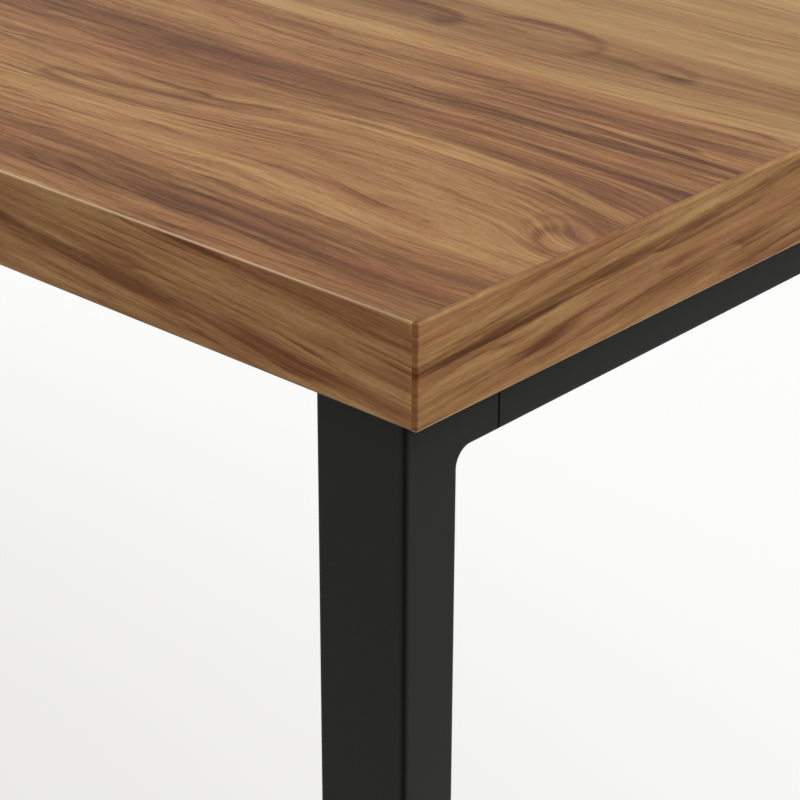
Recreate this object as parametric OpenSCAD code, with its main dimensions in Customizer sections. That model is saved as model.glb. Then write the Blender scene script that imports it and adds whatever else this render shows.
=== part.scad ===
// A four-legged table: a thick wood-faced top on a steel frame of rectangular tube.
// Origin on the floor under the middle of the top, +X along the table, +Y to its back, +Z up.

/* [Table] */
// Length of the top
table_l = 1524; // [1200:1:2100]
// Width of the top
table_w = 762; // [680:1:1000]
// Height of the top's upper face above the floor
table_h = 750; // [650:1:1100]

/* [Top] */
// Thickness of the whole top
top_t = 36; // [30:1:50]
// Thickness of the wood sheet on the upper face and of the backing sheet below
sheet_t = 0.8; // [0.5:0.1:2]
// Thickness of the wood bands round the edge
band_t = 2; // [1.6:0.1:4]
// Radius of the eased edges of the top
arris_r = 1.1; // [0.5:0.1:1.6]

/* [Frame tubes] */
// Leg tube, size along the table
leg_x = 38.1; // [36:0.1:60]
// Leg tube, size across the table
leg_y = 25.4; // [24:0.1:40]
// Height of all rails
rail_h = 20; // [19:1:30]
// Wall of all tubes
wall = 2; // [1.5:0.1:2.5]
// Outer corner radius of all tubes
tube_r = 2.4; // [1:0.1:4]
// Distance of the frame from the ends of the top
inset_x = 8.5; // [0:0.5:60]
// Distance of the frame from the long edges of the top
inset_y = 4.5; // [0:0.5:60]

/* [Corner joint] */
// Length of the leg's stub, from the leg's inner face to the seam
stub_len = 18.5; // [17:0.5:40]
// Radius of the bend under the stub
elbow_r = 6; // [5:0.5:11]
// Gap of the seam between stub and end rail
seam_gap = 1; // [0.3:0.1:1.5]
// Length of the spigot that joins stub and end rail
spigot_l = 62; // [50:1:80]
// Length of the spigot that lies inside the stub
spigot_in = 17; // [14:1:30]
// Clearance round the spigot
spigot_fit = 0.15; // [0.05:0.05:0.3]
// Bevel round both ends of the spigot
spigot_lead = 1; // [0.5:0.1:2]
// Distance of the end rail's corner screw from the seam
corner_screw_in = 20; // [12:1:30]

/* [Long rails] */
// Width of the long rails
long_rail_w = 38.1; // [30:0.1:50]
// Distance of each long rail's middle from the long edge of the top
long_rail_in = 181; // [170:1:220]
// Distance of the outer top screws from the ends of the long rails
long_screw_in = 240; // [60:1:400]
// Thickness of the end plates
plate_t = 4; // [3:0.5:8]
// Length of each end plate past the rail's side
plate_ear = 18; // [16:1:24]

/* [Fasteners] */
// Thread of the top screws and rail bolts
bolt_d = 6; // [5:0.5:8]
// Head of the top screws
top_head_d = 12; // [10.5:0.5:13]
// Height of the bolt and screw heads
head_h = 3.6; // [3:0.1:5]
// Hole for the driver under each top screw
access_d = 15; // [14:0.5:18]
// Thread of the corner screws
screw_d = 5; // [4:0.5:6]
// Length of the corner screws
screw_l = 12; // [8:1:14]
// Clearance round the shank of every screw and bolt
shank_fit = 0.25; // [0.1:0.05:0.5]
// Depth of the screws in the top
insert_l = 13; // [10:1:18]
// Outer diameter of the threaded inserts
insert_d = 10; // [9.5:0.5:12]
// Clearance round inserts and rivet nuts
insert_fit = 0.05; // [0.02:0.01:0.1]
// Outer diameter of the rivet nuts
rivet_d = 9; // [8.5:0.5:11]
// Length of the rivet nuts
rivet_l = 14; // [12:1:18]

/* [Levelling feet] */
// How far each foot screws out
foot_travel = 12; // [5:1:20]
// Diameter of the pad
pad_d = 24; // [20:1:30]
// Height of the pad
pad_h = 7; // [6.5:0.5:12]
// Diameter of the rubber grip disc
grip_d = 19; // [15:1:19]
// Thickness of the grip disc
grip_t = 2; // [1.5:0.1:3]
// How far the grip disc stands out below the pad
grip_out = 0.5; // [0.2:0.1:1]
// Thread of the stem
stem_d = 8; // [6.5:0.5:8]
// Neck that joins the stem to its pad
neck_d = 6; // [4:0.5:6]
// Height of the riveted end that holds the pad on the neck
rivet_head_h = 1.2; // [0.8:0.1:1.5]
// How far the riveted end stands out round the neck
rivet_lip = 1.2; // [0.8:0.1:2]
// Clearance between stem and bush
stem_fit = 0.07; // [0.02:0.01:0.1]
// Width across flats of the stem's collar and of the bush
collar_af = 13; // [11:0.5:13.5]
// Height of the stem's collar
collar_h = 4.5; // [3:0.5:8]
// Height of the threaded bush
bush_h = 12; // [8:1:16]
// Thickness of the plug's flange, under the tube's end
flange_t = 3; // [2:0.5:6]
// Height of the plug inside the tube
plug_h = 30; // [28:1:50]
// Wall of the plug
plug_wall = 2.2; // [1.5:0.1:2.6]
// Clearance round the plug and round the bush
plug_fit = 0.15; // [0.05:0.05:0.3]

/* [Hidden] */
$fn = 64;
EPS = 0.01;

// Proportions of standard fasteners, as shares of the thread's diameter
SOCKET_AF = 0.6;
HEX_AF = 1.67;
WASHER_D = 2.1;
SUNK_HEAD_D = 1.84;

// Heights
top_z = table_h - top_t;
rail_z = top_z - rail_h / 2;
pad_top = grip_out + pad_h;
// Stem left above the bush when the foot is right out
STEM_SPARE = 1;
// Play that lets the stem turn in its pad and the collar clear its neighbours
SETTLE = 0.2;
neck_z = grip_t + rivet_head_h + 2 * SETTLE;
collar_z = pad_top + SETTLE;
plug_z = collar_z + collar_h + SETTLE;
leg_z = plug_z + flange_t;
bush_z = plug_z + SETTLE;
stem_top = bush_z + bush_h + foot_travel + STEM_SPARE;

// Plan of the frame, taken at the front right corner and mirrored to the others
leg_cx = table_l / 2 - inset_x - leg_x / 2;
leg_cy = -(table_w / 2 - inset_y - leg_y / 2);
leg_in = leg_cy + leg_y / 2;
stub_end = leg_in + stub_len;
rail_end = stub_end + seam_gap;
spigot_y = stub_end - spigot_in;
spigot_end = spigot_y + spigot_l;
rail_in = leg_cx - leg_x / 2;
long_y = table_w / 2 - long_rail_in;
plate_l = long_rail_w + 2 * plate_ear;
tube_ri = max(tube_r - wall, 0.4);

// Fastener places
bolt_dy = long_rail_w / 2 + plate_ear / 2;
end_screw_y = (long_y + plate_l / 2 - spigot_end) / 2;
long_screw_x = rail_in - long_screw_in;
TOP_SCREWS = concat(
    [for (sx = [-1, 1], y = [-end_screw_y, 0, end_screw_y]) [sx * leg_cx, y]],
    [for (x = [-long_screw_x, 0, long_screw_x], sy = [-1, 1]) [x, sy * long_y]]);
CORNER_SCREWS = [stub_end - (stub_len - elbow_r) / 2, rail_end + corner_screw_in];
screw_head_d = SUNK_HEAD_D * screw_d;

// Parts that follow other sizes
neck_fit = 0.08;
rivet_head_d = neck_d + 2 * rivet_lip;
boss_d = collar_af / cos(30) + 2 * plug_wall;
stem_room = 0.6;
pad_rim = 1.2;
pad_shoulder = 0.42 * pad_h;
// Bulge of a rivet nut where it is squeezed against the inside of the tube
nut_bulge = 1.3;

CORNERS = [["front_left", 1, 0], ["front_right", 0, 0], ["back_left", 1, 1], ["back_right", 0, 1]];
CORNER_PIECES = ["leg", "corner_spigot", "foot_plug", "foot_bush", "foot_stem", "foot_pad", "foot_grip"];

// ---- Shapes that several pieces use ----

module rounded_rect(w, d, r) {
    square([w - 2 * r, d], center = true);
    square([w, d - 2 * r], center = true);
    for (x = [-1, 1], y = [-1, 1])
        translate([x * (w / 2 - r), y * (d / 2 - r)]) circle(r = r);
}

module bar(w, d, l, r) {
    linear_extrude(l, center = true) rounded_rect(w, d, r);
}

module tube(w, d, l) {
    difference() {
        bar(w, d, l, tube_r);
        bar(w - 2 * wall, d - 2 * wall, l + 1, tube_ri);
    }
}

module along_x() { rotate([90, 0, 90]) children(); }
module along_y() { rotate([90, 0, 0]) children(); }
module at_corner(c) { mirror([c[1], 0, 0]) mirror([0, c[2], 0]) children(); }
module at_leg() { translate([leg_cx, leg_cy, 0]) children(); }
module hex(af, h) { cylinder(d = af / cos(30), h = h, $fn = 6); }

// ---- Top ----

module eased_slab() {
    translate([0, 0, top_z + top_t / 2]) intersection() {
        bar(table_l, table_w, top_t, arris_r);
        along_y() bar(table_l, top_t, table_w, arris_r);
        along_x() bar(table_w, top_t, table_l, arris_r);
    }
}

module sheet(z, t) {
    translate([-table_l / 2 + band_t, -table_w / 2 + band_t, z])
        cube([table_l - 2 * band_t, table_w - 2 * band_t, t]);
}

module insert_holes() {
    for (p = TOP_SCREWS)
        translate([p[0], p[1], top_z - 1]) cylinder(d = insert_d + 2 * insert_fit, h = insert_l + 2);
}

module top_core() {
    color("#C9A878") difference() {
        sheet(top_z + sheet_t, top_t - 2 * sheet_t);
        insert_holes();
    }
}

module top_face_sheet() {
    color("#A57D55") sheet(table_h - sheet_t, sheet_t);
}

module top_backing_sheet() {
    color("#A57D55") difference() {
        sheet(top_z, sheet_t);
        insert_holes();
    }
}

// The long bands lie between the end bands, which cover their ends.
module edge_band_front() {
    color("#7D5A3A") intersection() {
        eased_slab();
        translate([-table_l / 2 + band_t, -table_w / 2, top_z]) cube([table_l - 2 * band_t, band_t, top_t]);
    }
}

module edge_band_right() {
    color("#8E6844") intersection() {
        eased_slab();
        translate([table_l / 2 - band_t, -table_w / 2, top_z]) cube([band_t, table_w, top_t]);
    }
}

// ---- Frame ----

// The bend between leg and stub: a quarter turn of the tube's inner edge round the elbow's centre.
module elbow_sweep() {
    depth = min(leg_y, rail_h) / 2;
    translate([leg_cx, leg_in + elbow_r, top_z - rail_h - elbow_r]) rotate([90, 0, -90])
        rotate_extrude(angle = 90) intersection() {
            translate([elbow_r + leg_y, 0]) rounded_rect(2 * leg_y, leg_x, tube_r);
            translate([elbow_r, -leg_x / 2]) square([depth, leg_x]);
        }
}

module leg() {
    color("#242524") difference() {
        union() {
            // The upright's upper end has the stub's rounded edges, and its lower end is cut square.
            intersection() {
                translate([leg_cx, leg_cy, (leg_z + top_z) / 2]) bar(leg_x, leg_y, top_z - leg_z, tube_r);
                translate([leg_cx, leg_cy, leg_z]) along_y()
                    bar(leg_x, 2 * (top_z - leg_z), leg_y + 2, tube_r);
            }
            translate([leg_cx, (leg_cy + stub_end) / 2, rail_z]) along_y()
                bar(leg_x, rail_h, stub_end - leg_cy, tube_r);
            elbow_sweep();
        }
        translate([leg_cx, leg_cy, (leg_z + top_z) / 2 - wall])
            bar(leg_x - 2 * wall, leg_y - 2 * wall, top_z - leg_z, tube_ri);
        translate([leg_cx, (leg_cy + stub_end) / 2 + 1, rail_z]) along_y()
            bar(leg_x - 2 * wall, rail_h - 2 * wall, stub_end - leg_cy + 2, tube_ri);
        translate([leg_cx, CORNER_SCREWS[0], 0]) corner_screw_hole();
    }
}

module end_rail() {
    color("#2C2E2A") difference() {
        translate([leg_cx, 0, rail_z]) along_y() tube(leg_x, rail_h, -2 * rail_end);
        for (sy = [0, 1]) mirror([0, sy, 0])
            translate([leg_cx, CORNER_SCREWS[1], 0]) corner_screw_hole();
        for (p = TOP_SCREWS) translate([p[0], p[1], 0]) top_screw_holes();
        for (sy = [-1, 1], dy = [-1, 1]) translate([rail_in - 1, sy * long_y + dy * bolt_dy, rail_z])
            rotate([0, 90, 0]) cylinder(d = rivet_d + 2 * insert_fit, h = wall + 2);
    }
}

module long_rail() {
    color("#2C2E2A") difference() {
        translate([0, -long_y, rail_z]) {
            along_x() tube(long_rail_w, rail_h, 2 * (rail_in - plate_t) + 2 * EPS);
            for (sx = [-1, 1]) translate([sx * (rail_in - plate_t / 2), 0, 0])
                cube([plate_t, plate_l, rail_h], center = true);
        }
        for (p = TOP_SCREWS) translate([p[0], p[1], 0]) top_screw_holes();
        for (sx = [-1, 1], dy = [-1, 1]) translate([sx * rail_in, dy * bolt_dy - long_y, rail_z])
            rotate([0, 90, 0]) cylinder(d = bolt_d + 2 * shank_fit, h = 3 * plate_t, center = true);
    }
}

module top_screw_holes() {
    translate([0, 0, top_z - wall - 1]) cylinder(d = bolt_d + 2 * shank_fit, h = wall + 2);
    translate([0, 0, top_z - rail_h - 1]) cylinder(d = access_d, h = wall + 2);
}

// ---- Corner joint ----

module countersunk(clear, l) {
    translate([0, 0, top_z - rail_h]) {
        cylinder(d = screw_d + 2 * clear, h = l);
        cylinder(d1 = screw_head_d + 2 * clear, d2 = screw_d + 2 * clear, h = (screw_head_d - screw_d) / 2);
    }
}

module corner_screw_hole() {
    countersunk(shank_fit, wall + 1);
    translate([0, 0, top_z - rail_h - 1]) cylinder(d = screw_head_d + 2 * shank_fit, h = 1 + EPS);
}

// A rectangle with its corners cut off at 45 degrees.
module cut_rect(w, d, cut) {
    x = w / 2;
    y = d / 2;
    polygon([
        [x, y - cut], [x - cut, y], [cut - x, y], [-x, y - cut],
        [-x, cut - y], [cut - x, -y], [x - cut, -y], [x, cut - y]]);
}

// A bar along Y, bevelled round both ends so that it finds its way into the tubes.
module bevelled_bar(w, h, l) {
    intersection() {
        along_y() bar(w, h, l, tube_ri);
        linear_extrude(h, center = true) cut_rect(w, l, spigot_lead);
        rotate([0, 90, 0]) linear_extrude(w, center = true) cut_rect(h, l, spigot_lead);
    }
}

module corner_spigot() {
    color("#8C8F92") difference() {
        translate([leg_cx, spigot_y + spigot_l / 2, rail_z])
            bevelled_bar(leg_x - 2 * (wall + spigot_fit), rail_h - 2 * (wall + spigot_fit), spigot_l);
        for (y = CORNER_SCREWS) translate([leg_cx, y, 0]) countersunk(insert_fit, screw_l + 1);
    }
}

module corner_screws() {
    color("#1E1F1F") for (c = CORNERS, y = CORNER_SCREWS) at_corner(c)
        translate([leg_cx, y, 0]) difference() {
            countersunk(0, screw_l);
            translate([0, 0, top_z - rail_h - EPS]) hex(SOCKET_AF * screw_d, screw_d / 2);
        }
}

// ---- Bolted joints ----

module rail_rivet_nuts() {
    color("#B9B7A8") for (c = CORNERS, dy = [-1, 1]) at_corner(c)
        translate([rail_in, dy * bolt_dy - long_y, rail_z]) rotate([0, 90, 0]) difference() {
            union() {
                cylinder(d = rivet_d, h = rivet_l);
                translate([0, 0, wall]) cylinder(d = rivet_d + 2 * nut_bulge, h = wall + 1);
            }
            translate([0, 0, -1]) cylinder(d = bolt_d + 2 * insert_fit, h = rivet_l + 2);
        }
}

module rail_bolts() {
    color("#3A3B3C") for (c = CORNERS, dy = [-1, 1]) at_corner(c)
        translate([rail_in - plate_t, dy * bolt_dy - long_y, rail_z]) rotate([0, 90, 0]) {
            translate([0, 0, -head_h - 1]) hex(HEX_AF * bolt_d, head_h + 1);
            translate([0, 0, -1]) cylinder(d = WASHER_D * bolt_d, h = 1);
            translate([0, 0, -EPS]) cylinder(d = bolt_d, h = plate_t + rivet_l - 2);
        }
}

module top_inserts() {
    color("#C2A25A") for (p = TOP_SCREWS) translate([p[0], p[1], top_z]) difference() {
        cylinder(d = insert_d, h = insert_l);
        translate([0, 0, -1]) cylinder(d = bolt_d + 2 * insert_fit, h = insert_l + 2);
    }
}

module top_screws() {
    color("#3A3B3C") for (p = TOP_SCREWS) translate([p[0], p[1], top_z - wall]) difference() {
        union() {
            translate([0, 0, -head_h]) cylinder(d = top_head_d, h = head_h);
            translate([0, 0, -EPS]) cylinder(d = bolt_d, h = wall + insert_l - 1);
        }
        translate([0, 0, -head_h - EPS]) hex(SOCKET_AF * bolt_d, head_h / 2);
    }
}

// ---- Levelling feet ----

module plug_section(margin) {
    w = leg_x - 2 * wall - 2 * plug_fit - 2 * margin;
    d = leg_y - 2 * wall - 2 * plug_fit - 2 * margin;
    rounded_rect(w, d, tube_ri);
}

module foot_plug() {
    color("#1B1C1C") at_leg() difference() {
        union() {
            translate([0, 0, plug_z]) linear_extrude(flange_t) rounded_rect(leg_x, leg_y, tube_r);
            translate([0, 0, leg_z - EPS]) linear_extrude(plug_h) plug_section(0);
        }
        translate([0, 0, leg_z + plug_wall]) linear_extrude(plug_h) difference() {
            plug_section(plug_wall);
            circle(d = boss_d);
        }
        translate([0, 0, plug_z - 1]) {
            cylinder(d = stem_d + 2 * stem_room, h = plug_h + flange_t + 2);
            hex(collar_af + 2 * insert_fit, bush_z + bush_h + insert_fit - plug_z + 1);
        }
    }
}

module foot_bush() {
    color("#A9ABAB") at_leg() translate([0, 0, bush_z]) difference() {
        hex(collar_af, bush_h);
        translate([0, 0, -1]) cylinder(d = stem_d, h = bush_h + 2);
    }
}

module foot_stem() {
    color("#A9ABAB") at_leg() {
        translate([0, 0, neck_z - rivet_head_h]) cylinder(d = rivet_head_d, h = rivet_head_h);
        translate([0, 0, neck_z - EPS]) cylinder(d = neck_d, h = collar_z - neck_z + 2 * EPS);
        translate([0, 0, collar_z]) hex(collar_af, collar_h);
        translate([0, 0, collar_z + EPS]) cylinder(d = stem_d - 2 * stem_fit, h = stem_top - collar_z);
    }
}

module foot_pad() {
    recess = grip_t - grip_out;
    head = recess + rivet_head_h + 3 * SETTLE;
    pad_top_r = collar_af / 2 + pad_rim;
    color("#1B1C1C") at_leg() translate([0, 0, grip_out]) rotate_extrude() difference() {
        polygon([[0, 0], [pad_d / 2, 0], [pad_d / 2, pad_shoulder], [pad_top_r, pad_h], [0, pad_h]]);
        translate([-1, -1]) square([1 + grip_d / 2 + plug_fit, 1 + recess]);
        translate([-1, 0]) square([1 + rivet_head_d / 2 + SETTLE, head]);
        translate([-1, 0]) square([1 + neck_d / 2 + neck_fit, pad_h + 1]);
    }
}

module foot_grip() {
    color("#303030") at_leg() cylinder(d = grip_d, h = grip_t);
}

top_core();
top_face_sheet();
top_backing_sheet();
edge_band_front();
mirror([0, 1, 0]) edge_band_front();  // edge_band_back
edge_band_right();
mirror([1, 0, 0]) edge_band_right();  // edge_band_left
end_rail();  // end_rail_right
mirror([1, 0, 0]) end_rail();  // end_rail_left
long_rail();  // long_rail_front
mirror([0, 1, 0]) long_rail();  // long_rail_back
corner_screws();
rail_rivet_nuts();
rail_bolts();
top_inserts();
top_screws();
for (c = CORNERS) {
    at_corner(c) leg();
    at_corner(c) corner_spigot();
    at_corner(c) foot_plug();
    at_corner(c) foot_bush();
    at_corner(c) foot_stem();
    at_corner(c) foot_pad();
    at_corner(c) foot_grip();
}
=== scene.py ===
"""A wood-topped table on a black steel frame: its finishes, fittings and a plain studio."""

import math
from collections import namedtuple

import bmesh
import bpy
from mathutils import Matrix, Vector


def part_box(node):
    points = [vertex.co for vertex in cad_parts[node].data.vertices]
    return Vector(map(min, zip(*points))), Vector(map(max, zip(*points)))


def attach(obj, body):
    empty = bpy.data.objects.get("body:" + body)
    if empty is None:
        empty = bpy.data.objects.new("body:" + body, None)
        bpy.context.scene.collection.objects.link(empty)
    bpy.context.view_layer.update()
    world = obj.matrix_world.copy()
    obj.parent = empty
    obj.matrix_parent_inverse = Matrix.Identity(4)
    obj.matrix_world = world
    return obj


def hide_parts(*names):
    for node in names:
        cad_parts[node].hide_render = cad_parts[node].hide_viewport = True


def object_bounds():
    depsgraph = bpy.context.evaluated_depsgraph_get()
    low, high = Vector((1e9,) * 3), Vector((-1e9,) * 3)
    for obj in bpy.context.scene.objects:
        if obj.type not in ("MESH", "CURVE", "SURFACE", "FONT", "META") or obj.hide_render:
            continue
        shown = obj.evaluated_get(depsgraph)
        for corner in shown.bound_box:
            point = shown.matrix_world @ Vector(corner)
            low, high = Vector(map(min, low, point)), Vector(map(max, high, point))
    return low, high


bl_info = {
    "name": "Steel-Framed Table Dresser",
    "version": (1, 0, 0),
    "blender": (4, 5, 0),
    "location": "View3D > Sidebar > Table",
    "description": "Dresses a wood-topped, steel-framed table and sets it in a plain studio",
    "category": "Object",
}

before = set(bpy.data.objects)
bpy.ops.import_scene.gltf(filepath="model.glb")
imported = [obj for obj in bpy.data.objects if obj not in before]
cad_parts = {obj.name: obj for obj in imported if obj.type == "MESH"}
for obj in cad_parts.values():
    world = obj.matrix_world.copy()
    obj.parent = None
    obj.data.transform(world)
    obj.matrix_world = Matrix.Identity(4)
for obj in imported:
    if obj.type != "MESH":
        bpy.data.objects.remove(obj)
CAD_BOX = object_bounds()
LOW, HIGH = (Vector(corner) for corner in CAD_BOX)
CORNERS = ("front_left", "front_right", "back_left", "back_right")
MM = 0.001
MERGE_DISTANCE = 0.001 * MM

# Steps in a quarter turn of the weld bead, and the bead's waist between two ripples as a share of its width
BEND_STEPS = 5
RIPPLE_WAIST = 0.82

# Faces round a pad, and the share of a grip's radius that lies before and after each of its ring grooves
PAD_SIDES = 72
GRIP_GROOVES = 3
BEFORE_GROOVE, AFTER_GROOVE = 0.11, 0.08

# Cells per metre of the clouding in the metals, 1.1 mm wide, and of the dimples in plastic, 0.45 mm wide
PLATING_CLOUDS = 900
MOULD_DIMPLES = 2200


# ---- Settings that a user would change ----

def hex_colour(value):
    """An sRGB hex value such as "A57D55" as linear red, green and blue."""
    parts = [int(value[i:i + 2], 16) / 255 for i in (0, 2, 4)]
    return tuple(c / 12.92 if c <= 0.04045 else ((c + 0.055) / 1.055) ** 2.4 for c in parts)


def colour_setting(name, value, description):
    """A colour to set, from its sRGB hex value."""
    return bpy.props.FloatVectorProperty(
        name=name, description=description, default=hex_colour(value), subtype="COLOR", size=3, min=0, max=1)


def length_setting(name, value, description):
    """A length to set, in metres."""
    return bpy.props.FloatProperty(name=name, description=description, default=value, unit="LENGTH", min=0)


def share_setting(name, value, description):
    """A share to set, from 0 to 1."""
    return bpy.props.FloatProperty(
        name=name, description=description, default=value, subtype="FACTOR", min=0, max=1)


def angle_setting(name, degrees, description):
    """An angle to set, in degrees."""
    return bpy.props.FloatProperty(
        name=name, description=description, default=math.radians(degrees), subtype="ANGLE")


class TableWoodSettings(bpy.types.PropertyGroup):
    dark: colour_setting("Dark streaks", "593214", "The purplish brown of the darkest streaks")
    brown: colour_setting("Brown", "7D532F", "The walnut's darker ground")
    tan: colour_setting("Tan", "A07548", "The walnut's main ground")
    light: colour_setting("Light streaks", "C09A64", "The pale yellow streaks")
    red: colour_setting("Red tint", "935A3C", "The reddish tint that some stripes take")
    # Painted highlight: this pale colour stands in for the light that the long bands' upper arris reflects,
    # and for the white floor's reflection in the end bands' lower arris
    sanded: colour_setting("Painted arris highlight", "E8CBA8", "The pale wood where an arris is sanded")
    ring_pitch: length_setting("Ring pitch", 5 * MM, "Distance between growth lines across the grain")
    pore_width: length_setting("Pore width", 0.7 * MM, "Width of the short dark pores")
    chip: length_setting("Core chip", 2.5 * MM, "Size of the chips in the particle board core")
    board: colour_setting("Core board", "C9A878", "The particle board core")


class TableSteelSettings(bpy.types.PropertyGroup):
    coat: colour_setting("Powder coat", "2D2E2C", "The frame's matt black powder coat")
    grit: length_setting("Coat grain", 0.8 * MM, "Size of the powder coat's fine grain")
    oxide: colour_setting("Black oxide", "232325", "The screws' black oxide")
    zinc: colour_setting("Zinc", "A9ABAB", "Zinc-plated steel")
    brass: colour_setting("Brass", "C2A25A", "The threaded inserts")
    bead: length_setting("Weld bead", 2.6 * MM, "Width of the bead between a rail and its end plate")
    ripple: length_setting("Weld ripple", 1.8 * MM, "Distance between the weld bead's ripples")
    rail_width: length_setting("Long rail width", 38.1 * MM, "Width of the long rails' tube")
    plate: length_setting("End plate", 4 * MM, "Thickness of the long rails' end plates")


class TableFootSettings(bpy.types.PropertyGroup):
    thread: length_setting("Stem thread", 7.86 * MM, "Outer diameter of the stem's thread")
    pitch: length_setting("Thread pitch", 1.25 * MM, "Distance between turns of the stem's thread")
    neck: length_setting("Neck", 6 * MM, "Diameter of the stem's neck in the pad")
    lip: length_setting("Rivet lip", 1.2 * MM, "How far the stem's rivet head stands out round its neck")
    play: length_setting("Play", 0.2 * MM, "Gap over and under the collar, and round the stem's head")
    collar_edge: length_setting("Collar edge", 0.45 * MM, "Rounding of the hexagonal collar's edges")
    shoulder: length_setting("Pad side", 2.94 * MM, "Height of the pad's upright side")
    rim: length_setting("Pad rim", 1.2 * MM, "How far the pad's top stands out round the collar")
    flute: length_setting("Flute", 0.35 * MM, "Depth of the pad's flutes and the grip's grooves")
    pad_edge: length_setting("Pad edge", 0.2 * MM, "Rounding of the pad's edges")
    grip_edge: length_setting("Grip edge", 0.15 * MM, "Rounding of the grip's edges")
    nylon: colour_setting("Nylon", "161717", "The moulded pads and plugs")
    rubber: colour_setting("Rubber", "2B2B2B", "The grip discs")


class TableStageSettings(bpy.types.PropertyGroup):
    floor: colour_setting("Floor", "FEFEFD", "The studio floor")
    floor_size: length_setting("Floor size", 60, "Length and width of the studio floor")
    sky: share_setting("Sky", 0.38, "Light that the surroundings throw on the table")
    white: share_setting("Floor white", 0.68, "How much of the floor's look is plain white")
    bounce: share_setting("Floor bounce", 0.55, "How much of the floor's light is thrown back on the table")
    light: bpy.props.FloatProperty(
        name="Overhead light", description="Strength of the broad overhead light", default=2.13, min=0)
    softness: angle_setting("Light softness", 75, "Angle that the overhead light fills")
    light_from: bpy.props.FloatVectorProperty(
        name="Light from", description="Direction that the overhead light comes from",
        default=(0.44, 0.22, 0.87), subtype="DIRECTION", size=3)
    lens: bpy.props.FloatProperty(
        name="Lens", description="Focal length of the camera", default=110.3, unit="CAMERA")
    eye: bpy.props.FloatVectorProperty(
        name="Camera place", description="Camera, from the front right upper corner of the top",
        default=(0.4327, -0.4885, 0.2908), subtype="TRANSLATION", unit="LENGTH", size=3)
    heading: angle_setting("Camera heading", 41.96, "Turn of the camera to the left of straight back")
    pitch: angle_setting("Camera pitch", -25.80, "Tilt of the camera, down from level")
    roll: angle_setting("Camera roll", 0.20, "Turn of the camera about its own axis")


# ---- Modelling tools ----

def start(shape, name, **size):
    """Adds a primitive with nothing else selected, and opens it for editing."""
    bpy.ops.object.select_all(action="DESELECT")
    getattr(bpy.ops.mesh, f"primitive_{shape}_add")(**size)
    piece = bpy.context.object
    piece.name = name
    bpy.ops.object.mode_set(mode="EDIT")
    bpy.ops.mesh.select_mode(type="VERT")
    return piece


def pick_faces(piece, test):
    """Selects only the faces whose middle and normal pass the test."""
    bpy.ops.mesh.select_mode(type="FACE")
    bpy.ops.mesh.select_all(action="DESELECT")
    mesh = bmesh.from_edit_mesh(piece.data)
    for face in mesh.faces:
        face.select_set(test(face.calc_center_median(), face.normal))
    bmesh.update_edit_mesh(piece.data)


def pick_edges(piece, test):
    """Selects only the edges whose two ends pass the test together."""
    bpy.ops.mesh.select_mode(type="EDGE")
    bpy.ops.mesh.select_all(action="DESELECT")
    mesh = bmesh.from_edit_mesh(piece.data)
    for edge in mesh.edges:
        edge.select_set(test(edge.verts[0].co, edge.verts[1].co))
    bmesh.update_edit_mesh(piece.data)


def step(inset=0.0, out=0.0):
    """From the selected flat faces: a ring narrower by inset on each side, then a wall of height out."""
    if inset:
        bpy.ops.mesh.inset(thickness=inset)
    if out:
        bpy.ops.mesh.extrude_region_shrink_fatten(TRANSFORM_OT_shrink_fatten={"value": out})


def widen(ratio):
    """From the selected flat faces: a flat ring outwards, to ratio times their size."""
    bpy.ops.mesh.extrude_region_move()
    bpy.ops.transform.resize(value=(ratio, ratio, 1))


def next_ring(place, ratio, turn=0.0):
    """Sweeps the selected face on to the place, resized, and turned about X from down towards the back."""
    sweep = bpy.context.object
    end = next(face for face in bmesh.from_edit_mesh(sweep.data).faces if face.select)
    now = sweep.matrix_world @ end.calc_center_median()
    bpy.ops.mesh.extrude_region_move(TRANSFORM_OT_translate={"value": place - now})
    bpy.ops.transform.resize(value=(ratio, ratio, ratio), center_override=place)
    if turn:
        bpy.ops.transform.rotate(value=-turn, orient_axis="X", center_override=place)


def end_edit(piece, angle=35):
    """Closes the edit, points the faces outwards, and brings the piece's place into its mesh."""
    bpy.ops.mesh.select_all(action="SELECT")
    bpy.ops.mesh.remove_doubles(threshold=MERGE_DISTANCE)
    bpy.ops.mesh.normals_make_consistent(inside=False)
    if bmesh.from_edit_mesh(piece.data).calc_volume(signed=True) < 0:
        bpy.ops.mesh.flip_normals()
    bpy.ops.object.mode_set(mode="OBJECT")
    bpy.ops.object.transform_apply(location=True, rotation=True, scale=True)
    bpy.ops.object.shade_smooth_by_angle(angle=math.radians(angle))
    return piece


def join(pieces, name):
    """Joins the pieces into the first, which takes the name."""
    bpy.ops.object.select_all(action="DESELECT")
    for piece in pieces:
        piece.select_set(True)
    bpy.context.view_layer.objects.active = pieces[0]
    bpy.ops.object.join()
    pieces[0].name = name
    return pieces[0]


def copy_to(piece, name, offset):
    """A copy with its own mesh, moved by offset."""
    twin = piece.copy()
    twin.data = piece.data.copy()
    twin.name = name
    twin.data.transform(Matrix.Translation(offset))
    bpy.context.scene.collection.objects.link(twin)
    return twin


def middle(name):
    """The middle of the named node's box."""
    low, high = (Vector(corner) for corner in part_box(name))
    return (low + high) / 2


# ---- Material tools ----

WHITE = (1, 1, 1)

# Settings of nodes: a range with soft ends, one colour blended into another, and one that shades another
SMOOTH = {"interpolation_type": "SMOOTHSTEP"}
BLEND = {"data_type": "RGBA"}
SHADE = {"data_type": "RGBA", "blend_type": "MULTIPLY"}


def in_use(sockets):
    """The sockets that the node's settings leave open."""
    return [socket for socket in sockets if socket.enabled]


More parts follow.
